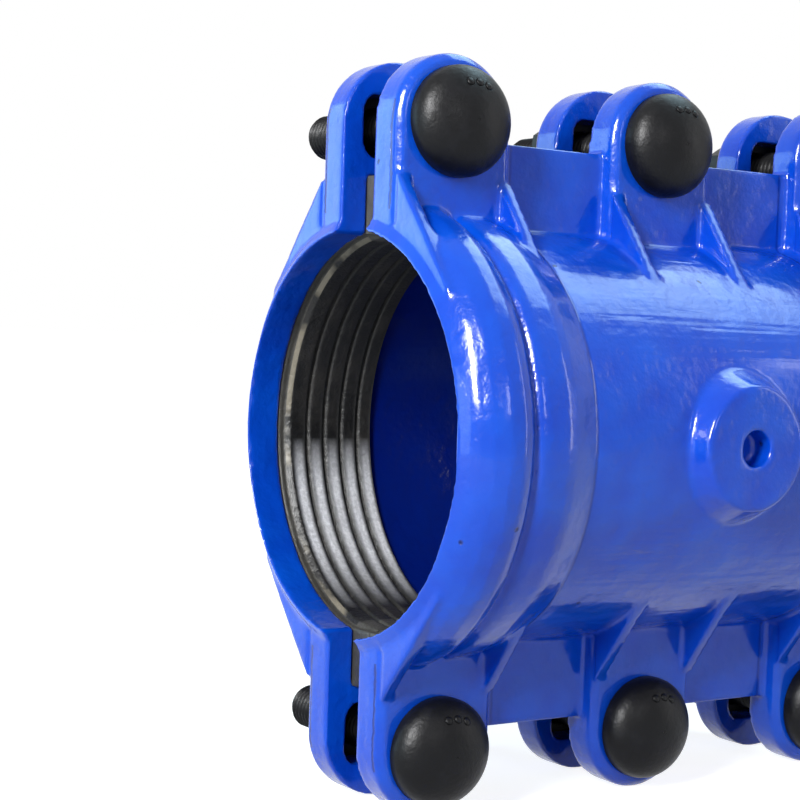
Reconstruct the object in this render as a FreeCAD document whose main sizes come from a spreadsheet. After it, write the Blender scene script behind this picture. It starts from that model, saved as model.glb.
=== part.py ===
import FreeCAD, Part
import math
import os

import Sketcher
from FreeCAD import Vector

# Two-piece repair clamp for a pipe, open by the gap that its bolts leave before they are tightened.
# Frame: X along the pipe, Y across the split (front half at -Y, rear half at +Y), Z up.
# The origin is on the pipe's axis, halfway between the two lips. Millimetres.

# Sizes: name, value, what it is
SIZES = [
    ("clampLength", 200.0, "length from lip to lip"),
    ("matingGap", 17.6, "gap between the two halves' mating faces"),
    ("lipRadius", 60.0, "inner radius of the iron lip at each end"),
    ("lipFace", 0.8, "width of the lip's end face"),
    ("lipRise", 3.6, "height of the slope from the lip's end face to the first bulge"),
    ("lipRun", 2.4, "length of that slope along the pipe"),
    ("lipDepth", 11.0, "how far the lip runs in before the gasket starts"),
    ("barrelBore", 60.5, "inner radius of the middle barrel"),
    ("barrelWall", 4.0, "wall of the middle barrel"),
    ("bulgeWidth", 20.5, "distance from the lip's end to the first bulge's inner end"),
    ("bulgeRound", 12.0, "profile radius of the first bulge"),
    ("creaseRise", 8.0, "height of the crease's shoulders above the lip's inner edge"),
    ("creaseWidth", 1.8, "width of the crease between the two bulges"),
    ("creaseDepth", 1.1, "depth of the crease"),
    ("bandWidth", 12.7, "length of the second bulge along the pipe"),
    ("bandRound", 22.0, "profile radius of the second bulge"),
    ("shoulderRun", 9.3, "length of the slope down to the barrel"),
    ("channelRadius", 63.0, "floor radius of the gasket's channel"),
    ("channelLength", 33.4, "length of the gasket's channel at each end"),
    ("flangeSetback", 2.0, "how far the flanges end short of the lips"),
    ("flangeThickness", 7.6, "thickness of the flanges between the lugs"),
    ("flangeHeight", 88.0, "height of the flanges' outer edge above the pipe's axis"),
    ("boltInset", 22.0, "distance of the outer bolts from the lips"),
    ("boltHeight", 92.0, "height of the bolts above the pipe's axis"),
    ("lugThickness", 13.0, "thickness of the lugs"),
    ("lugWidth", 40.0, "width of a lug, and the diameter of its rounded end"),
    ("lugBevel", 2.2, "bevel of the lugs' outer rim"),
    ("gussetThickness", 4.0, "thickness of the ribs beside the lugs"),
    ("gussetTop", 76.0, "height at which a rib leaves the lug"),
    ("gussetSink", 1.2, "how deep a rib's edge runs out into the barrel"),
    ("endGussetLift", 2.6, "how far out the ribs at the ends stand above the others"),
    ("bossReach", 71.0, "distance of the boss's face from the pipe's axis"),
    ("bossRadius", 18.6, "radius of the boss's face"),
    ("bossFlare", 4.6, "how much wider the boss is at its foot"),
    ("bossHoleRadius", 5.4, "radius of the hole in the boss"),
    ("bossHoleDepth", 7.5, "depth of the hole in the boss"),
    ("slotWidth", 25.0, "width of the rear lugs' slots along the pipe"),
    ("slotHeight", 19.0, "height of the rear lugs' slots"),
    ("slotCorner", 4.5, "corner radius of the slots"),
    ("boltDiameter", 14.0, "diameter of the bolts' shank"),
    ("boltLength", 77.0, "length of a bolt below its head"),
    ("boltTip", 1.5, "chamfer at the end of a bolt"),
    ("headDiameter", 32.4, "diameter of the domed head"),
    ("headRim", 2.2, "height of the head's straight rim"),
    ("headDome", 9.4, "height of the dome above the rim"),
    ("neckWidth", 14.4, "side of the square neck under the head"),
    ("neckLength", 8.0, "length of the square neck"),
    ("neckClearance", 0.3, "gap at each side of the neck in its square hole"),
    ("nutWidth", 21.0, "width of a nut across its flats"),
    ("nutHeight", 11.0, "height of a nut"),
    ("nutSlope", 30.0, "angle of the chamfer on a nut's corners"),
    ("threadClearance", 0.05, "radial gap between a nut and its bolt"),
    ("washerDiameter", 28.0, "outer diameter of a washer"),
    ("washerHole", 15.0, "hole of a washer"),
    ("washerThickness", 2.5, "thickness of a washer"),
    ("pipeRadius", 59.0, "radius of the pipe that the gasket's ribs meet"),
    ("gasketClearance", 0.2, "radial gap between a gasket and its channel"),
    ("gasketSeam", 0.4, "gap between the two gaskets"),
    ("collarWidth", 2.0, "width of the plain collar at a gasket's outer end"),
    ("collarDrop", 1.5, "depth of the collar below the ribs' crests, and its chamfer"),
    ("ribPitch", 6.2, "distance from rib to rib"),
    ("grooveWidth", 1.7, "width of the grooves between the ribs"),
    ("grooveDepth", 1.9, "depth of the grooves between the ribs"),
    ("stripClearance", 8.0, "distance of the strips' outer edge from the bolts"),
    ("stripFoot", 59.6, "height of the strips' inner edge above the pipe's axis"),
    ("stripSeat", 3.0, "depth of the strips' seat in the mating face"),
    ("cutMargin", 1.0, "how far a cutting shape runs past what it cuts"),
]
GROOVE_COUNT = 4
BULGE_STEPS = 6
BAND_STEPS = 3
DOME_STEPS = 4

# Places worked out from the sizes
LIP_END = "Sizes.clampLength / 2"
FLANGE_END = "Sizes.clampLength / 2 - Sizes.flangeSetback"
MATING_FACE = "Sizes.matingGap / 2"
FLANGE_FACE = "Sizes.matingGap / 2 + Sizes.flangeThickness"
LUG_FACE = "Sizes.matingGap / 2 + Sizes.lugThickness"
BARREL_RADIUS = "Sizes.barrelBore + Sizes.barrelWall"
LIP_EDGE = "Sizes.lipRadius + Sizes.lipFace"
CREASE_TOP = "Sizes.lipRadius + Sizes.creaseRise"
CREASE_START = f"{LIP_END} - Sizes.bulgeWidth"
CREASE_END = f"{CREASE_START} - Sizes.creaseWidth"
BAND_END = f"{CREASE_END} - Sizes.bandWidth"
BARREL_START = f"{BAND_END} - Sizes.shoulderRun"
CHANNEL_START = f"{LIP_END} - Sizes.lipDepth"
CHANNEL_END = f"{CHANNEL_START} - Sizes.channelLength"
WASHER_FACE = f"{LUG_FACE} + Sizes.washerThickness"
BOLT_PITCH = "(Sizes.clampLength / 2 - Sizes.boltInset)"
STRIP_EDGE = "Sizes.boltHeight - Sizes.boltDiameter / 2 - Sizes.stripClearance"
CUT_END = f"{LIP_END} + Sizes.cutMargin"

SAME_PLACE = 1e-4
NEAR, MIDDLE, FAR = "near", "middle", "far"
COLUMNS = {NEAR: -1, MIDDLE: 0, FAR: 1}
ROWS = {"top": 1, "bottom": -1}

doc = FreeCAD.newDocument("PipeRepairClamp")
sheet = doc.addObject("Spreadsheet::Sheet", "Sizes")
for number, (name, size, note) in enumerate(SIZES, start=1):
    sheet.set(f"A{number}", note)
    sheet.set(f"B{number}", str(size))
    sheet.setAlias(f"B{number}", name)
doc.recompute()


def value(expression):
    result = sheet.evalExpression(str(expression))
    return float(getattr(result, "Value", result))


def origin_plane(body, role):
    return next(item for item in body.Origin.OriginFeatures if item.Role == role)


def new_body(label):
    body = doc.addObject("PartDesign::Body", label)
    body.Label = label
    return body


def new_sketch(body, name, plane, offset=None):
    sketch = body.newObject("Sketcher::SketchObject", name)
    sketch.AttachmentSupport = [(origin_plane(body, plane), "")]
    sketch.MapMode = "FlatFace"
    if offset:
        sketch.setExpression("AttachmentOffset.Base.z", offset)
    return sketch


def bind(sketch, constraint, expression):
    index = sketch.addConstraint(constraint)
    sketch.setExpression(f"Constraints[{index}]", expression)


def pin_point(sketch, geometry, end, across, up):
    """Ties one end of a sketch element to its two coordinates."""
    for kind, axis, expression in (("DistanceX", -2, across), ("DistanceY", -1, up)):
        if expression == "0":
            sketch.addConstraint(Sketcher.Constraint("PointOnObject", geometry, end, axis))
        else:
            rule = Sketcher.Constraint(kind, -1, 1, geometry, end, value(expression))
            bind(sketch, rule, expression)


def arc_through(start, finish, radius, side):
    """The arc of the given radius from start to finish that bows to the given side of the chord."""
    chord = finish - start
    half = chord.Length / 2
    rise = math.sqrt(max(radius * radius - half * half, 0.0))
    normal = Vector(-chord.y, chord.x, 0).normalize() * side
    crown = (start + finish) * 0.5 + normal * (radius - rise)
    return Part.Arc(start, crown, finish)


def outline(sketch, corners, arcs=None):
    """A closed outline through the corners; arcs gives a stretch's radius and side by its first corner."""
    arcs = arcs or {}
    points = [Vector(value(across), value(up), 0) for across, up in corners]
    count = len(points)
    starts = []
    for index, point in enumerate(points):
        following = points[(index + 1) % count]
        if index in arcs:
            radius, side = arcs[index]
            number = sketch.addGeometry(arc_through(point, following, value(radius), side), False)
            forward = (sketch.Geometry[number].StartPoint - point).Length < SAME_PLACE
            bind(sketch, Sketcher.Constraint("Radius", number, value(radius)), radius)
        else:
            number = sketch.addGeometry(Part.LineSegment(point, following), False)
            forward = True
        starts.append((number, 1, 2) if forward else (number, 2, 1))
    for index, (number, first, last) in enumerate(starts):
        previous, _, previous_last = starts[index - 1]
        sketch.addConstraint(Sketcher.Constraint("Coincident", previous, previous_last, number, first))
        pin_point(sketch, number, first, *corners[index])
    return sketch


def circle(sketch, across, up, radius):
    centre = Vector(value(across), value(up), 0)
    number = sketch.addGeometry(Part.Circle(centre, Vector(0, 0, 1), value(radius)), False)
    bind(sketch, Sketcher.Constraint("Radius", number, value(radius)), radius)
    pin_point(sketch, number, 3, across, up)
    return sketch


def feature(body, kind, name, sketch, **expressions):
    item = body.newObject(f"PartDesign::{kind}", name)
    item.Profile = sketch
    for prop, expression in expressions.items():
        item.setExpression(prop, expression)
    sketch.Visibility = False
    return item


def revolve(body, kind, name, sketch, axis="H_Axis"):
    item = feature(body, kind, name, sketch)
    item.ReferenceAxis = (sketch, [axis])
    item.Angle = 360
    doc.recompute()
    return item


def pad(body, name, sketch, length, reverse=False):
    item = feature(body, "Pad", name, sketch, Length=length)
    item.Reversed = reverse
    doc.recompute()
    return item


def pocket(body, name, sketch, length, reverse=False):
    before = body.Shape.Volume
    item = feature(body, "Pocket", name, sketch, Length=length)
    item.Reversed = reverse
    doc.recompute()
    if body.Shape.Volume > before - 1:
        raise RuntimeError(f"{name} cuts nothing")
    return item


def mirrored(corners):
    """The corners followed by their mirror images across the pipe's middle, so that the outline closes."""
    return corners + [(f"-({across})", up) for across, up in reversed(corners)]


def sided(expression, sign):
    return expression if sign > 0 else f"-({expression})"


def across_of(column):
    """The place of a bolt along the pipe."""
    return {NEAR: f"-{BOLT_PITCH}", MIDDLE: "0", FAR: BOLT_PITCH}[column]


def bowed(start, finish, radius, steps):
    """Corners between start and finish, on an arc of the given radius that bows outwards."""
    run = f"(({start[0]}) - ({finish[0]}))"
    corners = []
    for step in range(1, steps):
        share = round((1 - math.cos(math.pi * step / steps)) / 2, 4)
        across = f"({start[0]}) * {1 - share} + ({finish[0]}) * {share}"
        chord = f"({start[1]}) * {1 - share} + ({finish[1]}) * {share}"
        rise = f"sqrt({radius}^2 - ({run} * {share - 0.5})^2) - sqrt({radius}^2 - ({run} / 2)^2)"
        corners.append((across, f"{chord} + {rise}"))
    return corners


# Iron halves
def shell_outside(body):
    """The casting's outer form, turned about the pipe's axis: lip, bulge, crease, band and barrel."""
    bulge = [(f"{LIP_END} - Sizes.lipRun", f"{LIP_EDGE} + Sizes.lipRise"), (CREASE_START, CREASE_TOP)]
    band = [(CREASE_END, CREASE_TOP), (BAND_END, CREASE_TOP)]
    corners = [
        (LIP_END, "0"),
        (LIP_END, LIP_EDGE),
        bulge[0],
        *bowed(*bulge, "Sizes.bulgeRound", BULGE_STEPS),
        bulge[1],
        (f"{CREASE_START} - Sizes.creaseWidth / 2", f"{CREASE_TOP} - Sizes.creaseDepth"),
        band[0],
        *bowed(*band, "Sizes.bandRound", BAND_STEPS),
        band[1],
        (BARREL_START, BARREL_RADIUS),
    ]
    sketch = outline(new_sketch(body, "OuterProfile", "XY_Plane"), mirrored(corners))
    revolve(body, "Revolution", "OuterForm", sketch)


def shell_flanges(body, side):
    corners = mirrored([(FLANGE_END, "-Sizes.flangeHeight"), (FLANGE_END, "Sizes.flangeHeight")][::-1])
    sketch = outline(new_sketch(body, "FlangeOutline", "XZ_Plane"), corners)
    pad(body, "Flanges", sketch, FLANGE_FACE, reverse=side > 0)


def shell_lugs(body, side):
    """Three upright plates with round ends, one behind each pair of bolts."""
    for column, place in COLUMNS.items():
        centre = f"{place} * {BOLT_PITCH}"
        right = f"{centre} + Sizes.lugWidth / 2"
        left = f"{centre} - Sizes.lugWidth / 2"
        corners = [
            (right, "-Sizes.boltHeight"),
            (right, "Sizes.boltHeight"),
            (left, "Sizes.boltHeight"),
            (left, "-Sizes.boltHeight"),
        ]
        plate = outline(new_sketch(body, f"LugOutline_{column}", "XZ_Plane"), corners)
        pad(body, f"Lug_{column}", plate, LUG_FACE, reverse=side > 0)
        for row, sign in ROWS.items():
            end = new_sketch(body, f"LugEndCircle_{column}_{row}", "XZ_Plane")
            circle(end, across_of(column), f"{sign} * Sizes.boltHeight", "Sizes.lugWidth / 2")
            pad(body, f"LugEnd_{column}_{row}", end, LUG_FACE, reverse=side > 0)


def bevel_lug_rims(body, side):
    """Bevels the outer rim of every lug."""
    face = side * value(LUG_FACE)
    base = body.Tip
    names = []
    for number, edge in enumerate(base.Shape.Edges, start=1):
        box = edge.BoundBox
        if max(abs(box.YMin - face), abs(box.YMax - face)) < SAME_PLACE:
            names.append(f"Edge{number}")
    rim = body.newObject("PartDesign::Chamfer", "LugRims")
    rim.Base = (base, names)
    rim.setExpression("Size", "Sizes.lugBevel")
    doc.recompute()


def gusset_plate(body, name, start, rise, side):
    """A rib plate whose sloping edges run from the lug's face down to the round body."""
    reach = f"({BARREL_RADIUS} - Sizes.gussetSink + {rise})"
    top_depth = f"({LUG_FACE})"
    top_distance = f"sqrt({top_depth}^2 + Sizes.gussetTop^2)"
    angle = f"(atan(Sizes.gussetTop / {top_depth}) - acos({reach} / {top_distance}))"
    foot_depth = f"{reach} * cos({angle})"
    foot_height = f"{reach} * sin({angle})"
    corners = [
        (sided(top_depth, side), "Sizes.gussetTop"),
        (sided(foot_depth, side), foot_height),
        (sided(foot_depth, side), f"-({foot_height})"),
        (sided(top_depth, side), "-Sizes.gussetTop"),
    ]
    sketch = outline(new_sketch(body, f"{name}Outline", "YZ_Plane", start), corners)
    pad(body, name, sketch, "Sizes.gussetThickness")


def shell_gussets(body, side):
    """Two ribs per lug, flush with its edges; those at the two ends stand out further."""
    for column, place in COLUMNS.items():
        left = f"{place} * {BOLT_PITCH} - Sizes.lugWidth / 2"
        right = f"{place} * {BOLT_PITCH} + Sizes.lugWidth / 2 - Sizes.gussetThickness"
        left_rise = "Sizes.endGussetLift" if column == NEAR else "0"
        right_rise = "Sizes.endGussetLift" if column == FAR else "0"
        gusset_plate(body, f"LeftGusset_{column}", left, left_rise, side)
        gusset_plate(body, f"RightGusset_{column}", right, right_rise, side)


def shell_boss(body, side):
    """The round tapered boss at the middle of the front half."""
    reach = "Sizes.bossReach"
    foot = "Sizes.barrelBore"
    corners = [
        ("0", sided(foot, side)),
        ("Sizes.bossRadius + Sizes.bossFlare", sided(foot, side)),
        ("Sizes.bossRadius", sided(reach, side)),
        ("0", sided(reach, side)),
    ]
    sketch = outline(new_sketch(body, "BossProfile", "XY_Plane"), corners)
    revolve(body, "Revolution", "Boss", sketch, "V_Axis")


def boss_hole(body, side):
    corners = [
        ("0", sided("Sizes.bossReach + Sizes.cutMargin", side)),
        ("Sizes.bossHoleRadius", sided("Sizes.bossReach + Sizes.cutMargin", side)),
        ("Sizes.bossHoleRadius", sided("Sizes.bossReach - Sizes.bossHoleDepth", side)),
        ("0", sided("Sizes.bossReach - Sizes.bossHoleDepth", side)),
    ]
    sketch = outline(new_sketch(body, "BossHoleProfile", "XY_Plane"), corners)
    revolve(body, "Groove", "BossHole", sketch, "V_Axis")


def shell_bore(body):
    """The bore: a lip at each end, the two gasket channels and the barrel between them."""
    corners = [
        (CUT_END, "0"),
        (CUT_END, "Sizes.lipRadius"),
        (CHANNEL_START, "Sizes.lipRadius"),
        (CHANNEL_START, "Sizes.channelRadius"),
        (CHANNEL_END, "Sizes.channelRadius"),
        (CHANNEL_END, "Sizes.barrelBore"),
    ]
    sketch = outline(new_sketch(body, "BoreProfile", "XY_Plane"), mirrored(corners))
    revolve(body, "Groove", "Bore", sketch)


def shell_split(body, side):
    """Takes away everything on the far side of the mating face."""
    height = "Sizes.boltHeight + Sizes.lugWidth"
    corners = mirrored([(CUT_END, height), (CUT_END, f"-({height})")])
    sketch = outline(new_sketch(body, "SplitOutline", "XZ_Plane", sided(MATING_FACE, -side)), corners)
    pocket(body, "Split", sketch, height, reverse=side > 0)


def strip_seats(body, side):
    """Shallow seats in the mating face, above and below the bore, for the gasket's strips."""
    corners = mirrored([(CHANNEL_START, STRIP_EDGE), (CHANNEL_START, f"-({STRIP_EDGE})")])
    sketch = outline(new_sketch(body, "SeatOutline", "XZ_Plane", sided(MATING_FACE, -side)), corners)
    pocket(body, "Seats", sketch, "Sizes.stripSeat", reverse=side < 0)


def lug_holes(body, side):
    """Square holes for the bolts' necks in the front half, wider rounded slots in the rear one."""
    for column, place in COLUMNS.items():
        for row, sign in ROWS.items():
            across = f"{place} * {BOLT_PITCH}"
            up = f"{sign} * Sizes.boltHeight"
            sketch = new_sketch(body, f"HoleOutline_{column}_{row}", "XZ_Plane")
            if side < 0:
                half = "(Sizes.neckWidth / 2 + Sizes.neckClearance)"
                corners = [
                    (f"{across} + {half}", f"{up} + {half}"),
                    (f"{across} - {half}", f"{up} + {half}"),
                    (f"{across} - {half}", f"{up} - {half}"),
                    (f"{across} + {half}", f"{up} - {half}"),
                ]
                outline(sketch, corners)
            else:
                rounded_slot(sketch, across, up)
            pocket(body, f"Hole_{column}_{row}", sketch, f"{LUG_FACE} + Sizes.cutMargin", reverse=side < 0)


def rounded_slot(sketch, across, up):
    wide = "Sizes.slotWidth / 2"
    tall = "Sizes.slotHeight / 2"
    corner = "Sizes.slotCorner"
    corners = []
    for sign_across, sign_up, first_is_side in ((1, 1, True), (-1, 1, False), (-1, -1, True), (1, -1, False)):
        side_point = (
            f"{across} + {sign_across} * {wide}",
            f"{up} + {sign_up} * ({tall} - {corner})",
        )
        flat_point = (
            f"{across} + {sign_across} * ({wide} - {corner})",
            f"{up} + {sign_up} * {tall}",
        )
        corners += [side_point, flat_point] if first_is_side else [flat_point, side_point]
    outline(sketch, corners, {0: (corner, -1), 2: (corner, -1), 4: (corner, -1), 6: (corner, -1)})


def shell_half(label, side):
    body = new_body(label)
    shell_flanges(body, side)
    shell_lugs(body, side)
    bevel_lug_rims(body, side)
    shell_outside(body)
    shell_gussets(body, side)
    if side < 0:
        shell_boss(body, side)
    shell_bore(body)
    shell_split(body, side)
    strip_seats(body, side)
    lug_holes(body, side)
    if side < 0:
        boss_hole(body, side)
    return body


# Rubber gaskets
def gasket_profile():
    """Half of a ring's section, from its outer end inwards: a collar, then ribs parted by grooves."""
    outer = "Sizes.channelRadius - Sizes.gasketClearance"
    collar = "Sizes.pipeRadius + Sizes.collarDrop"
    collar_end = f"{CHANNEL_START} - Sizes.collarWidth"
    crest_start = f"{collar_end} - Sizes.collarDrop"
    corners = [
        (CHANNEL_END, outer),
        (CHANNEL_START, outer),
        (CHANNEL_START, collar),
        (collar_end, collar),
        (crest_start, "Sizes.pipeRadius"),
    ]
    for groove in range(1, GROOVE_COUNT + 1):
        middle = f"{crest_start} - {groove} * Sizes.ribPitch"
        corners += [
            (f"{middle} + Sizes.grooveWidth / 2", "Sizes.pipeRadius"),
            (middle, "Sizes.pipeRadius + Sizes.grooveDepth"),
            (f"{middle} - Sizes.grooveWidth / 2", "Sizes.pipeRadius"),
        ]
    corners.append((CHANNEL_END, "Sizes.pipeRadius"))
    return corners


def gasket_rings(body):
    for end, sense in (("Far", 1), ("Near", -1)):
        section = [(sided(across, sense), up) for across, up in gasket_profile()]
        sketch = outline(new_sketch(body, f"RingProfile{end}", "XY_Plane"), section)
        revolve(body, "Revolution", f"Ring{end}", sketch)


def gasket_half(label, side):
    """Two ribbed half rings joined by a strip above and a strip below the pipe, moulded in one."""
    body = new_body(label)
    for row, sign in ROWS.items():
        corners = mirrored([
            (CHANNEL_START, sided(STRIP_EDGE, sign)),
            (CHANNEL_START, sided("Sizes.stripFoot", sign)),
        ])
        sketch = outline(new_sketch(body, f"StripOutline_{row}", "XZ_Plane"), corners)
        depth = f"{MATING_FACE} + Sizes.stripSeat"
        pad(body, f"Strip_{row}", sketch, depth, reverse=side > 0)
        if row == "top":
            gasket_rings(body)
    height = f"{STRIP_EDGE} + Sizes.cutMargin"
    corners = mirrored([(CUT_END, height), (CUT_END, f"-({height})")])
    plane = new_sketch(body, "SeamOutline", "XZ_Plane", sided("Sizes.gasketSeam / 2", -side))
    sketch = outline(plane, corners)
    pocket(body, "Seam", sketch, height, reverse=side > 0)
    return body


# Fasteners
def place_fastener(body, column, row, depth):
    body.setExpression("Placement.Base.x", f"{COLUMNS[column]} * {BOLT_PITCH}")
    body.setExpression("Placement.Base.y", depth)
    body.setExpression("Placement.Base.z", f"{ROWS[row]} * Sizes.boltHeight")


def dome_corners():
    """The head's dome from its top to its rim, on the circle through both, in short straights."""
    radius = "((Sizes.headDiameter / 2)^2 + Sizes.headDome^2) / (2 * Sizes.headDome)"
    corners = []
    for step in range(DOME_STEPS):
        reach = f"Sizes.headDiameter / 2 * {step / DOME_STEPS}" if step else "0"
        rise = f"sqrt(({radius})^2 - ({reach})^2) - ({radius}) + Sizes.headDome"
        corners.append((reach, f"-(Sizes.headRim + {rise})"))
    return corners


def bolt(label, column, row):
    """A domed head on a square neck and a round shank; its own zero is under the head."""
    body = new_body(label)
    radius = "Sizes.boltDiameter / 2"
    corners = dome_corners() + [
        ("Sizes.headDiameter / 2", "-Sizes.headRim"),
        ("Sizes.headDiameter / 2", "0"),
        (radius, "0"),
        (radius, "Sizes.boltLength - Sizes.boltTip"),
        (f"{radius} - Sizes.boltTip", "Sizes.boltLength"),
        ("0", "Sizes.boltLength"),
    ]
    sketch = outline(new_sketch(body, "BoltProfile", "XY_Plane"), corners)
    revolve(body, "Revolution", "Turned", sketch, "V_Axis")
    half = "Sizes.neckWidth / 2"
    square = [(half, half), (f"-{half}", half), (f"-{half}", f"-{half}"), (half, f"-{half}")]
    neck = outline(new_sketch(body, "NeckOutline", "XZ_Plane"), square)
    pad(body, "Neck", neck, "Sizes.neckLength", reverse=True)
    place_fastener(body, column, row, f"-({LUG_FACE})")
    return body


def nut(label, column, row):
    """A plain hexagon nut, chamfered on its outer face; its own zero is on the washer."""
    body = new_body(label)
    flat = "Sizes.nutWidth / 2"
    corner = "(Sizes.nutWidth / 2 / cos(30))"
    hexagon = [
        ("0", corner),
        (f"-{flat}", f"{corner} / 2"),
        (f"-{flat}", f"-{corner} / 2"),
        ("0", f"-{corner}"),
        (flat, f"-{corner} / 2"),
        (flat, f"{corner} / 2"),
    ]
    sketch = outline(new_sketch(body, "Hexagon", "XZ_Plane"), hexagon)
    pad(body, "Prism", sketch, "Sizes.nutHeight", reverse=True)
    rim = f"{corner} + Sizes.cutMargin"
    wedge = [
        (flat, "Sizes.nutHeight"),
        (rim, f"Sizes.nutHeight - ({rim} - {flat}) * tan(Sizes.nutSlope)"),
        (rim, "Sizes.nutHeight"),
    ]
    groove = outline(new_sketch(body, "ChamferProfile", "XY_Plane"), wedge)
    revolve(body, "Groove", "Chamfer", groove, "V_Axis")
    bore = circle(new_sketch(body, "BoreCircle", "XZ_Plane"), "0", "0",
                  "Sizes.boltDiameter / 2 + Sizes.threadClearance")
    pocket(body, "Bore", bore, "Sizes.nutHeight")
    place_fastener(body, column, row, WASHER_FACE)
    return body


def washer(label, column, row):
    body = new_body(label)
    ring = circle(new_sketch(body, "Rings", "XZ_Plane"), "0", "0", "Sizes.washerDiameter / 2")
    circle(ring, "0", "0", "Sizes.washerHole / 2")
    pad(body, "Disc", ring, "Sizes.washerThickness", reverse=True)
    place_fastener(body, column, row, LUG_FACE)
    return body


parts = [
    shell_half("rear_shell", 1),
    shell_half("front_shell", -1),
    gasket_half("rear_gasket", 1),
    gasket_half("front_gasket", -1),
]
for row in ROWS:
    for column in COLUMNS:
        parts.append(bolt(f"bolt_{row}_{column}", column, row))
        parts.append(nut(f"nut_{row}_{column}", column, row))
        parts.append(washer(f"washer_{row}_{column}", column, row))
doc.recompute()

for item in doc.Objects:
    if "Invalid" in item.State or "Error" in item.State:
        raise RuntimeError(f"{item.Label} failed: {item.State}")
for body in parts:
    if body.Shape.isNull() or not body.Shape.isValid() or len(body.Shape.Solids) != 1:
        raise RuntimeError(f"{body.Label} is not one sound solid")

os.makedirs("parts", exist_ok=True)
for body in parts:
    body.Shape.exportStep(os.path.join("parts", f"{body.Label}.step"))
    print(body.Label, round(body.Shape.Volume / 1000, 1), "cm3")
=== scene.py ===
import math

import bpy
import numpy as np
from mathutils import Matrix, Vector, noise


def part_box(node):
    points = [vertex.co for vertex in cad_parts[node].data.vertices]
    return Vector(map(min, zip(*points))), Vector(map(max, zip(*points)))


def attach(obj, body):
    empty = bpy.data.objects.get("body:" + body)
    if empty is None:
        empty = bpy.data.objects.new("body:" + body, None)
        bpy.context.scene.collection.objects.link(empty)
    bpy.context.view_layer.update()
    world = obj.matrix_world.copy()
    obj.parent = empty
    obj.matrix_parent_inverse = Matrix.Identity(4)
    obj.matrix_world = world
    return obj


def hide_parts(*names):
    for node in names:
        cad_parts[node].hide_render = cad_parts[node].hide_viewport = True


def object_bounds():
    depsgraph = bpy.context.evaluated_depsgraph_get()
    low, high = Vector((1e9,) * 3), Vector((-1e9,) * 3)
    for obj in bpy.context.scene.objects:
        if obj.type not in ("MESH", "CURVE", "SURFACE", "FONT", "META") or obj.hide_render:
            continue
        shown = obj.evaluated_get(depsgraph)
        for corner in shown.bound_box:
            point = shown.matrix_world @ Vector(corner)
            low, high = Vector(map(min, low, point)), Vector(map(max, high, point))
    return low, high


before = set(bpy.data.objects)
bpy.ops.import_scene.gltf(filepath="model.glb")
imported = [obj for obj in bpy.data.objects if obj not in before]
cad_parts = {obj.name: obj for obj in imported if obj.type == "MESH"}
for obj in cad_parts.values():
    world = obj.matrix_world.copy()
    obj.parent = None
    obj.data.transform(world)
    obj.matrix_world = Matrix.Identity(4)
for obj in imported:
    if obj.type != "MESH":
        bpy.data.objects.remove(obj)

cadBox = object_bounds()
print("clamp loaded:", len(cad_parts), "pieces")


# one socket of a shader that can be reckoned with
class Flow:
    def __init__(self, tree, socket):
        self.tree = tree
        self.socket = socket

    def reckon(self, operation, first, second):
        node = self.tree.nodes.new("ShaderNodeMath")
        node.operation = operation
        for slot, value in zip(node.inputs, (first, second)):
            if isinstance(value, Flow):
                self.tree.links.new(value.socket, slot)
            else:
                slot.default_value = value
        return Flow(self.tree, node.outputs[0])

    def __add__(self, other):
        return self.reckon("ADD", self, other)

    def __radd__(self, other):
        return self.reckon("ADD", other, self)

    def __sub__(self, other):
        return self.reckon("SUBTRACT", self, other)

    def __rsub__(self, other):
        return self.reckon("SUBTRACT", other, self)

    def __mul__(self, other):
        return self.reckon("MULTIPLY", self, other)

    def __rmul__(self, other):
        return self.reckon("MULTIPLY", other, self)

    def __truediv__(self, other):
        return self.reckon("DIVIDE", self, other)

    def __rtruediv__(self, other):
        return self.reckon("DIVIDE", other, self)

    def __pow__(self, other):
        return self.reckon("POWER", self, other)

    def __rpow__(self, other):
        return self.reckon("POWER", other, self)

    def above(self, other):
        return self.reckon("GREATER_THAN", self, other)

    def larger(self, other):
        return self.reckon("MAXIMUM", self, other)


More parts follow.
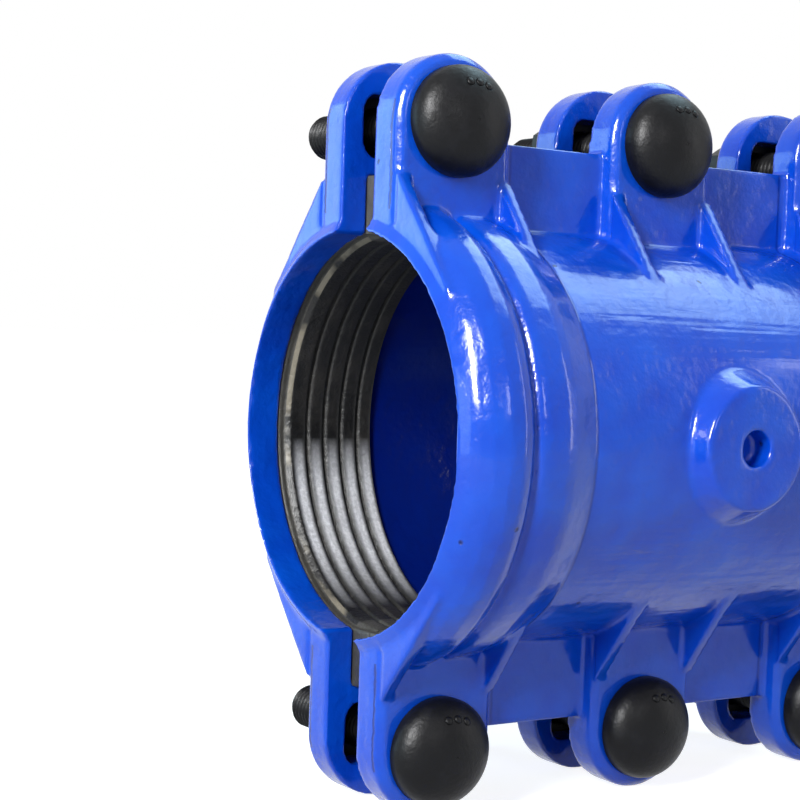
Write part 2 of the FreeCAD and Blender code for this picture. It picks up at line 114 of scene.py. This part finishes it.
# one material, or the world, and the nodes in it
class Finish:
    def __init__(self, name=None, tree=None):
        self.material = None
        self.tree = tree
        if name:
            self.material = bpy.data.materials.new(name)
            self.material.use_nodes = True
            self.tree = self.material.node_tree
        self.tree.nodes.clear()

    def node(self, kind, settings=None, sockets=None, out=0):
        made = self.tree.nodes.new("ShaderNode" + kind)
        for key, value in (settings or {}).items():
            if key == "stops":
                self.setStops(made.color_ramp, value)
            else:
                setattr(made, key, value)
        for key, value in (sockets or {}).items():
            if isinstance(value, Flow):
                self.tree.links.new(value.socket, made.inputs[key])
            else:
                made.inputs[key].default_value = value
        return Flow(self.tree, made.outputs[out]) if len(made.outputs) else made

    def setStops(self, ramp, stops):
        while len(ramp.elements) < len(stops):
            ramp.elements.new(0.5)
        for element, (place, shade) in zip(ramp.elements, stops):
            element.position = place
            element.color = shade

    def ramp(self, value, low, high):
        stops = [(low, (0, 0, 0, 1)), (high, (1, 1, 1, 1))]
        return self.node("ValToRGB", {"stops": stops}, {"Fac": value})

    def grain(self, size, detail=3.0, roughness=0.5, distortion=0.0, where=None):
        sockets = {"Scale": 1 / size, "Detail": detail, "Roughness": roughness, "Distortion": distortion}
        sockets["Vector"] = where or self.place()
        return self.node("TexNoise", {}, sockets)

    def cells(self, size, where=None):
        sockets = {"Scale": 1 / size, "Vector": where or self.place()}
        return self.node("TexVoronoi", {"feature": "F1"}, sockets)

    def place(self):
        return self.node("TexCoord", out="Object")

    def axes(self):
        parts = self.node("SeparateXYZ", {}, {"Vector": self.place()})
        outputs = parts.socket.node.outputs
        return [Flow(self.tree, outputs[axis]) for axis in range(3)]

    # inside a tube round the pipe's axis
    def within(self, radius, reach):
        along, across, up = self.axes()
        distance = (across * across + up * up) ** 0.5
        return (1 - distance.above(radius)) * (1 - (along * along).above(reach * reach))

    def blend(self, factor, first, second):
        sockets = {"Factor": factor, 6: first, 7: second}
        return self.node("Mix", {"data_type": "RGBA"}, sockets, out=2)

    def relief(self, height, depth, normal=None):
        sockets = {"Height": height, "Distance": depth, "Strength": 1.0}
        if normal:
            sockets["Normal"] = normal
        return self.node("Bump", {}, sockets)

    def close(self, shader):
        kind = "OutputMaterial" if self.material else "OutputWorld"
        self.node(kind, {}, {"Surface": shader})
        return self.material


# a soft line of a width where a distance is nought
def softLine(distance, width):
    aside = distance / width
    return math.e ** (0 - aside * aside)


def colour(red, green, blue):
    return (red, green, blue, 1.0)


# epoxy coat of the two castings, with painted shade inside the barrel and along the shoulders' foot
bluePaint = {
    "deep": colour(0.0012, 0.048, 0.49),
    "thin": colour(0.0016, 0.086, 0.62),
    "pit": colour(0.0005, 0.003, 0.05),
    # painted shade: the barrel's inside darkened, though it has the same coat as the outside
    "inside": colour(0.0008, 0.006, 0.13),
    "insideRadius": 0.0618,
    "insideReach": 0.086,
    # dark line colour: a casting's parting line, and painted shade along the shoulders' foot
    "seamAndFootShade": colour(0.001, 0.012, 0.16),
    "shoulderFoot": 0.0551,  # where the shoulders run out on the barrel
    "footShadeLine": 0.0007,
    "seamPlace": 0.0184,     # a casting's parting line on the end faces
    "seamLine": 0.0006,
    "wobbleSize": 0.004,     # the parting line isn't quite straight
    "wobble": 0.0022,
    "seamFrom": 0.0972,      # the end faces lie beyond this
    "seamAbove": 0.0655,     # only on the lugs, not on the lips
    "broadSize": 0.045,
    "peelSize": 0.0032,
    "peelDepth": 0.00030,
    "castSize": 0.0105,
    "castDepth": 0.00085,
    "pitSpacing": 0.021,
    "pitDepth": 0.0005,
    "gloss": 0.14,
    "coat": 0.42,
    "coatRoughness": 0.09,
}


def paintFinish(look):
    made = Finish("blue_epoxy")
    broad = made.grain(look["broadSize"], detail=2.0)
    casting = made.grain(look["castSize"], detail=2.0, roughness=0.45)
    peel = made.grain(look["peelSize"], detail=2.5, roughness=0.55)
    shift = made.node("VectorMath", {"operation": "SCALE"}, {0: made.grain(0.01), "Scale": 0.006})
    shifted = made.node("VectorMath", {"operation": "ADD"}, {0: made.place(), 1: shift})
    pits = made.cells(look["pitSpacing"], where=shifted)
    pitMask = 1 - made.ramp(pits, 0.018, 0.046)
    thinness = made.ramp(broad * 0.6 + casting * 0.4, 0.32, 0.72)
    tone = made.blend(thinness, look["deep"], look["thin"])
    tone = made.blend(pitMask * 0.85, tone, look["pit"])
    # painted shade inside the barrel, within a tube round the axis
    within = made.within(look["insideRadius"], look["insideReach"])
    tone = made.blend(within * 0.92, tone, look["inside"])
    along, across, up = made.axes()
    wobble = made.grain(look["wobbleSize"], detail=4.0) * look["wobble"] - look["wobble"] / 2
    aside = (across * across) ** 0.5 + wobble - look["seamPlace"]
    endFace = (along * along).above(look["seamFrom"] ** 2) * (up * up).above(look["seamAbove"] ** 2)
    seamAndFootShade = made.ramp(softLine(aside, look["seamLine"]), 0.25, 0.9) * endFace
    # painted shade: a dark line where the shoulders run down onto the barrel
    footShade = (along * along) ** 0.5 - look["shoulderFoot"]
    outside = (across * across + up * up).above(look["insideRadius"] ** 2)
    footShade = made.ramp(softLine(footShade, look["footShadeLine"]), 0.2, 1.0) * outside
    seamAndFootShade = seamAndFootShade.larger(footShade * 0.55)
    tone = made.blend(seamAndFootShade * 0.8, tone, look["seamAndFootShade"])
    bump = made.relief(casting, look["castDepth"])
    bump = made.relief(peel, look["peelDepth"], bump)
    bump = made.relief(1 - pitMask - seamAndFootShade * 0.6, look["pitDepth"], bump)
    shader = made.node("BsdfPrincipled", {}, {
        "Base Color": tone,
        "Roughness": look["gloss"] + peel * 0.16 + pitMask * 0.3,
        "Specular IOR Level": 0.12,
        "Coat Weight": look["coat"],
        "Coat Roughness": look["coatRoughness"],
        "Normal": bump,
    })
    return made.close(shader)


# rubber of the gaskets: a painted sheen across the ribs' crests at one height, dust at the edges
rubberLook = {
    "dark": colour(0.008, 0.0078, 0.0075),
    "dusty": colour(0.034, 0.030, 0.026),
    "paintedSheen": colour(0.94, 0.94, 0.96),
    "collar": colour(0.085, 0.080, 0.068),
    "stripe": colour(0.30, 0.26, 0.19),
    "sheenPlace": -0.030,    # height of the shine on the ribs
    "sheenReach": 0.026,
    "firstRib": 0.0855,
    "ribPitch": 0.0062,
    "collarStart": 0.0867,   # the end faces' bare band
    "collarSide": 0.0115,    # the bare band beside the split
    "dullReach": 0.06,       # the upper half shines less
    "cloudSize": 0.012,
    "speckSize": 0.0015,
    "streakSize": 0.016,
    "skinSize": 0.0013,
    "skinDepth": 0.00034,
    "swellSize": 0.006,
    "swellDepth": 0.0005,
    "edge": 0.0016,
}


def rubberFinish(look):
    made = Finish("moulded_rubber")
    cloud = made.grain(look["cloudSize"], detail=4.0, roughness=0.6)
    skin = made.grain(look["skinSize"], detail=3.0, roughness=0.65)
    swell = made.grain(look["swellSize"], detail=2.0)
    dust = made.ramp(cloud, 0.45, 0.72)
    tone = made.blend(dust * 0.6, look["dark"], look["dusty"])
    along, across, up = made.axes()
    outward = (along * along) ** 0.5
    specks = made.ramp(made.grain(look["speckSize"], detail=5.0, roughness=0.75), 0.42, 0.68)
    # painted sheen: a near-white speckled band on the ribs' crests at one height, in place of the shine of
    # light
    height = (up - look["sheenPlace"]) / look["sheenReach"]
    shine = made.ramp(1 - height * height, 0.05, 0.9)
    crest = made.node("Math", {"operation": "SINE"}, {
        0: (look["firstRib"] - outward) * (math.pi / look["ribPitch"]),
    })
    crest = made.ramp(crest * crest, 0.10, 0.85) * (1 - outward.above(look["firstRib"]))
    tone = made.blend(shine * crest * (specks * 0.32 + 0.68), tone, look["paintedSheen"])
    besideSplit = 1 - (across * across).above(look["collarSide"] ** 2)
    collar = outward.above(look["collarStart"]).larger(besideSplit)
    tone = made.blend(collar * (0.55 + dust * 0.35), tone, look["collar"])
    edge = outward.above(look["firstRib"]) * (1 - collar)
    broken = made.ramp(made.grain(look["streakSize"], detail=3.0), 0.46, 0.56)
    tone = made.blend(edge * broken * 0.7, tone, look["stripe"])
    dull = made.ramp(up / look["dullReach"], 0.0, 0.6)
    softEdge = made.node("Bevel", {"samples": 6}, {"Radius": look["edge"]})
    bump = made.relief(swell, look["swellDepth"], softEdge)
    bump = made.relief(skin, look["skinDepth"], bump)
    shader = made.node("BsdfPrincipled", {}, {
        "Base Color": tone,
        "Roughness": 0.24 + skin * 0.22 + dust * 0.14 + dull * 0.3,
        "Specular IOR Level": 0.34,
        "Normal": bump,
    })
    return made.close(shader)


# blackened steel of bolts, nuts and washers
boltLook = {
    "dark": colour(0.0045, 0.0045, 0.0055),
    "worn": colour(0.022, 0.022, 0.025),
    "cloudSize": 0.007,
    "cloudDepth": 0.00025,
    "skinSize": 0.0014,
    "skinDepth": 0.00010,
    "edge": 0.0005,
}


def boltFinish(look):
    made = Finish("blackened_steel")
    cloud = made.grain(look["cloudSize"], detail=4.0, roughness=0.6)
    skin = made.grain(look["skinSize"], detail=3.0, roughness=0.6)
    wear = made.ramp(cloud, 0.52, 0.78)
    tone = made.blend(wear * 0.5, look["dark"], look["worn"])
    softEdge = made.node("Bevel", {"samples": 4}, {"Radius": look["edge"]})
    bump = made.relief(cloud, look["cloudDepth"], softEdge)
    bump = made.relief(skin, look["skinDepth"], bump)
    shader = made.node("BsdfPrincipled", {}, {
        "Base Color": tone,
        "Metallic": 0.05 + wear * 0.25,
        "Roughness": 0.30 + skin * 0.20,
        "Specular IOR Level": 0.15,
        "Normal": bump,
    })
    return made.close(shader)


bluePaintFinish = paintFinish(bluePaint)
rubber = rubberFinish(rubberLook)
blackSteel = boltFinish(boltLook)
print("finishes made")


def dress(piece, finish):
    piece.data.materials.clear()
    piece.data.materials.append(finish)


def addPiece(name, mesh, finish, body):
    piece = bpy.data.objects.new(name, mesh)
    bpy.context.collection.objects.link(piece)
    dress(piece, finish)
    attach(piece, body)
    return piece


# cast halves: the solid's skin with a casting's soft edges
castLook = {
    "cell": 0.0008,      # cells of the skin
    "softRounds": 4,     # rounds of smoothing
    "keep": 0.40,        # share of the faces kept
    "waveSize": 0.017,
    "wave": 0.00022,
    "waveMiddle": 0.35,      # keeps the waves below the solid's skin
    "creasePlace": 0.0786,   # distance of the creases from mid-length
    "creaseWidth": 0.0012,
    "creaseDepth": 0.0011,
    "creaseReach": 0.080,    # the creases lie nearer to the axis than this
}


def castHalf(node, body):
    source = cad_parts[node]
    rough = bpy.data.objects.new(node + "_rough", source.data.copy())
    bpy.context.collection.objects.link(rough)
    skin = rough.modifiers.new("skin", "REMESH")
    skin.mode = "VOXEL"
    skin.voxel_size = castLook["cell"]
    soft = rough.modifiers.new("soft", "SMOOTH")
    soft.factor = 0.5
    soft.iterations = castLook["softRounds"]
    fewer = rough.modifiers.new("fewer", "DECIMATE")
    fewer.ratio = castLook["keep"]
    scene = bpy.context.evaluated_depsgraph_get()
    mesh = bpy.data.meshes.new_from_object(rough.evaluated_get(scene))
    bpy.data.objects.remove(rough)
    mesh.name = node + "_skin"
    waveSurface(mesh)
    mesh.shade_smooth()
    piece = addPiece(node + "_cast", mesh, bluePaintFinish, body)
    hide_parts(node)
    print(piece.name, len(mesh.polygons), "faces")


# faint waves all over, and the creases between the bulges a little deeper
def waveSurface(mesh):
    count = len(mesh.vertices)
    spots = np.empty(count * 3)
    mesh.vertices.foreach_get("co", spots)
    outward = np.array([tuple(vertex.normal) for vertex in mesh.vertices])
    spots = spots.reshape(-1, 3)
    size = castLook["waveSize"]
    lift = np.array([noise.noise(Vector(spot) / size) for spot in spots]) - castLook["waveMiddle"]
    spots = spots + outward * lift[:, None] * castLook["wave"]
    radial = spots * (0, 1, 1)
    reach = np.linalg.norm(radial, axis=1)
    radial = radial / reach[:, None]
    onRound = (np.sum(radial * outward, axis=1) > 0.8) & (reach < castLook["creaseReach"])
    aside = (np.abs(spots[:, 0]) - castLook["creasePlace"]) / castLook["creaseWidth"]
    groove = np.exp(-aside ** 2) * castLook["creaseDepth"] * onRound
    spots = spots - radial * groove[:, None]
    mesh.vertices.foreach_set("co", spots.ravel())
    mesh.update()


castHalf("rear_shell", "rear_half")
castHalf("front_shell", "front_half")


# gaskets, washers and nuts keep their own shape
for node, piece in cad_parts.items():
    if "gasket" in node:
        dress(piece, rubber)
    if node.startswith(("nut", "washer", "bolt")):
        dress(piece, blackSteel)
print("rubber and small parts finished")


# bolts: a turned head, a rounded square neck and a shank with its thread
boltShape = {
    "seat": 0.0218,        # the heads sit on the front lugs' faces
    "shankRadius": 0.007,
    "rim": 0.0022,         # height of the head's straight rim
    "neckSide": 0.0144,
    "neckLength": 0.008,
    "neckCorner": 0.0016,
    "neckTaper": 0.0008,   # at the neck's end
    "neckAround": 64,
    "softRim": 0.0004,
    "sink": 0.0002,        # how far the parts run into each other
    "pitch": 0.002,
    "threadDepth": 0.00115,
    "threadSteps": 8,      # rings for each turn of the thread
    "grooveFloor": 1.15,   # above 1, so the groove has a flat floor
    "grooveSlope": 2.6,
    "tip": 0.0015,
    "around": 30,
    "headAround": 56,
    "headSteps": 16,
    "dotAngles": (1.15, 1.45, 1.75),   # raised dots on the head
    "dotTurn": 42,
    "dotSize": 0.0013,
}


# a closed body from rings along y, each with a radius or a rule for it
def turned(rings, around):
    vertices = []
    for reach, radii in rings:
        for step in range(around):
            angle = 2 * math.pi * step / around
            radius = radii(angle) if callable(radii) else radii
            vertices.append((radius * math.cos(angle), reach, radius * math.sin(angle)))
    faces = []
    for ring in range(len(rings) - 1):
        for step in range(around):
            here = ring * around + step
            beside = ring * around + (step + 1) % around
            faces.append((here, beside, beside + around, here + around))
    faces.append(tuple(range(around)))
    faces.append(tuple(reversed(range((len(rings) - 1) * around, len(rings) * around))))
    return vertices, faces


def headRings(headRadius, top, seat):
    rings = []
    rise = seat - top
    dome = rise - boltShape["rim"]
    steps = boltShape["headSteps"]
    for step in range(1, steps + 1):
        turn = 0.5 * math.pi * step / steps
        rings.append((top + dome * (1 - math.cos(turn)), headRadius * math.sin(turn)))
    rings.append((seat - boltShape["softRim"], headRadius))
    rings.append((seat, headRadius - boltShape["softRim"]))
    return [(top + 0.00002, headRadius * 0.02)] + rings


# a low raised dot that lies flat on the dome
def headDot(headRadius, top, seat, angle):
    dome = seat - top - boltShape["rim"]
    turn = math.radians(boltShape["dotTurn"])
    radial = Vector((math.cos(angle), 0, math.sin(angle)))
    axial = Vector((0, -1, 0))
    spot = radial * headRadius * math.sin(turn) - axial * (top + dome * (1 - math.cos(turn)))
    normal = (radial * math.sin(turn) / headRadius + axial * math.cos(turn) / dome).normalized()
    beside = normal.cross(axial).normalized()
    ahead = normal.cross(beside)
    size = boltShape["dotSize"]
    rings, around = 4, 12
    points = []
    for ring in range(rings):
        rise = 0.5 * math.pi * ring / (rings - 0.5)
        for step in range(around):
            spin = 2 * math.pi * step / around
            out = (beside * math.cos(spin) + ahead * math.sin(spin)) * size * math.cos(rise)
            points.append(tuple(spot + out + normal * size * (0.45 * math.sin(rise) - 0.1)))
    faces = []
    for ring in range(rings - 1):
        for step in range(around):
            here = ring * around + step
            nextTo = ring * around + (step + 1) % around
            faces.append((here, nextTo, nextTo + around, here + around))
    faces.append(tuple(range((rings - 1) * around, rings * around)))
    return points, faces


# the radius of a square with rounded corners, for each angle
def squareRadius(side, corner):
    half = side / 2

    def radius(angle):
        across, up = abs(math.cos(angle)), abs(math.sin(angle))
        flat = half / max(across, up)
        corners = (half - corner) * (across + up)
        inside = corners * corners - 2 * (half - corner) ** 2 + corner * corner
        rounded = corners + math.sqrt(inside) if inside > 0 else flat
        return min(flat, rounded)
    return radius


def threadRings(start, end, radius):
    pitch = boltShape["pitch"]
    depth = boltShape["threadDepth"]
    steps = int(round((end - start) / (pitch / boltShape["threadSteps"])))
    rings = []
    for step in range(steps + 1):
        reach = start + (end - start) * step / steps
        fadeIn = min(1.0, (reach - start) / pitch)
        toTip = min(1.0, (end - reach) / boltShape["tip"])

        def radiusAt(angle, reach=reach, fadeIn=fadeIn, toTip=toTip):
            turn = (reach / pitch - angle / (2 * math.pi)) % 1.0
            slope = boltShape["grooveFloor"] - abs(turn - 0.5) * boltShape["grooveSlope"]
            groove = min(1.0, max(0.0, slope))
            cut = radius - depth * groove * fadeIn
            return min(cut, radius - boltShape["tip"] * 0.75 * (1 - toTip))
        rings.append((reach, radiusAt))
    return rings


def neckRings(seat, neckEnd):
    side, corner = boltShape["neckSide"], boltShape["neckCorner"]
    square = squareRadius(side, corner)
    smaller = squareRadius(side - boltShape["neckTaper"], corner)
    return [
        (seat - boltShape["sink"], square),
        (neckEnd - boltShape["softRim"], square),
        (neckEnd, smaller),
    ]


def boltMesh(name, box):
    low, high = Vector(box[0]), Vector(box[1])
    centre = (low + high) / 2
    headRadius = (high.x - low.x) / 2
    seat = -boltShape["seat"]
    neckEnd = seat + boltShape["neckLength"]
    shank = threadRings(neckEnd - boltShape["sink"], high.y, boltShape["shankRadius"])
    parts = [headDot(headRadius, low.y, seat, angle) for angle in boltShape["dotAngles"]]
    parts.append(turned(headRings(headRadius, low.y, seat), boltShape["headAround"]))
    parts.append(turned(neckRings(seat, neckEnd), boltShape["neckAround"]))
    parts.append(turned(shank, boltShape["around"]))
    vertices, faces = [], []
    for points, loops in parts:
        first = len(vertices)
        vertices += [(x + centre.x, y, z + centre.z) for x, y, z in points]
        faces += [tuple(index + first for index in loop) for loop in loops]
    mesh = bpy.data.meshes.new(name)
    mesh.from_pydata(vertices, [], faces)
    mesh.validate()
    mesh.shade_smooth()
    mesh.set_sharp_from_angle(angle=math.radians(38))
    return mesh


for node in list(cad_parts):
    if node.startswith("bolt"):
        bolt = addPiece(node + "_turned", boltMesh(node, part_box(node)), blackSteel, "front_half")
        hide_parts(node)
print("bolts turned")


# where the photographer stood
cameraPlace = {
    "eye": (-0.38258, -0.48471, 0.02948),
    "yaw": 36.908,
    "pitch": 3.24,
    "roll": 2.129,
    "lens": 85.275,
    "shift": (-0.20525, 0.061875),
}


def addCamera(place):
    yaw, pitch, roll = (math.radians(place[key]) for key in ("yaw", "pitch", "roll"))
    ahead = Vector((math.sin(yaw) * math.cos(pitch), math.cos(yaw) * math.cos(pitch), -math.sin(pitch)))
    level = Vector((math.cos(yaw), -math.sin(yaw), 0))
    over = level.cross(ahead)
    right = math.cos(roll) * level + math.sin(roll) * over
    up = -math.sin(roll) * level + math.cos(roll) * over
    data = bpy.data.cameras.new("camera")
    data.lens = place["lens"]
    data.sensor_width = 36.0
    data.shift_x, data.shift_y = place["shift"]
    data.clip_start = 0.01
    camera = bpy.data.objects.new("camera", data)
    bpy.context.collection.objects.link(camera)
    turn = Matrix((right, up, -ahead)).transposed().to_4x4()
    camera.matrix_world = Matrix.Translation(place["eye"]) @ turn
    bpy.context.scene.camera = camera


def addLamp(name, place, size, power, tint=(1, 1, 1), diffuse=True):
    data = bpy.data.lights.new(name, "AREA")
    data.shape = "RECTANGLE"
    data.size, data.size_y = size
    data.energy = power
    data.color = tint
    lamp = bpy.data.objects.new(name, data)
    lamp.location = place
    lamp.visible_diffuse = diffuse
    lamp.rotation_euler = (-Vector(place)).to_track_quat("-Z", "Y").to_euler()
    bpy.context.collection.objects.link(lamp)


# softboxes, their sides in metres and their power in watts
lamps = {
    "left_high": {"place": (-1.00, -0.50, 0.55), "size": (0.20, 0.62), "power": 16.5},
    "left_gloss": {
        "place": (-1.02, -0.51, 0.56), "size": (0.22, 0.52), "power": 34,
        "diffuse": False,    # only the shine along the bulges
    },
    "left_side": {
        "place": (-1.30, -0.16, -0.02), "size": (0.34, 0.80), "power": 4, "tint": (0.58, 0.86, 1.0),
    },
    "left_back": {"place": (-0.90, 1.00, 0.15), "size": (0.90, 0.90), "power": 10, "tint": (0.48, 0.86, 1.0)},
    "front": {"place": (-0.10, -1.30, 0.45), "size": (0.26, 0.30), "power": 2.2},
    "top": {"place": (0.72, 0.12, 1.15), "size": (1.10, 0.50), "power": 10.5, "tint": (0.55, 0.86, 1.0)},
    "right_strip": {"place": (1.10, -0.80, 0.30), "size": (0.16, 1.00), "power": 3},
}


# pale floor: white where it is seen, darker for the light that it throws back
floorLook = {
    "half": 40.0,
    "throwsBack": colour(0.50, 0.50, 0.50),
    "nearGlow": 0.86,
}


def addFloor(height):
    half = floorLook["half"]
    mesh = bpy.data.meshes.new("floor")
    corners = [(-half, -half, height), (half, -half, height), (half, half, height), (-half, half, height)]
    mesh.from_pydata(corners, [], [(0, 1, 2, 3)])
    floor = bpy.data.objects.new("floor", mesh)
    bpy.context.collection.objects.link(floor)
    made = Finish("pale_floor")
    seen = made.node("LightPath", out="Is Camera Ray")
    seen = seen.larger(made.node("LightPath", out="Is Glossy Ray"))
    mat = made.node("BsdfDiffuse", {}, {"Color": floorLook["throwsBack"]})
    along, across, up = made.axes()
    away = made.ramp((along * along + across * across) ** 0.5 / 2, 0.1, 0.6)
    near = floorLook["nearGlow"]
    white = made.blend(seen * (near + away * (1 - near)), colour(0, 0, 0), colour(1, 1, 1))
    glow = made.node("Emission", {}, {"Color": white, "Strength": 1.0})
    floor.data.materials.append(made.close(made.node("AddShader", {}, {0: mat, 1: glow})))


skyLight = 0.10    # the world's share of the light on the object


def addWorld():
    world = bpy.data.worlds.new("studio")
    world.use_nodes = True
    bpy.context.scene.world = world
    made = Finish(tree=world.node_tree)
    seen = made.node("LightPath", out="Is Camera Ray")
    seen = seen.larger(made.node("LightPath", out="Is Glossy Ray"))
    seen = seen.larger(made.node("LightPath", out="Is Transmission Ray"))
    white = made.blend(skyLight + seen * (1 - skyLight), colour(0, 0, 0), colour(1, 1, 1))
    made.close(made.node("Background", {}, {"Color": white, "Strength": 1.0}))


addCamera(cameraPlace)
for name, lamp in lamps.items():
    addLamp(name, **lamp)
addFloor(cadBox[0][2])
addWorld()
bpy.context.scene.view_settings.view_transform = "Standard"
print("camera, lamps and floor set")
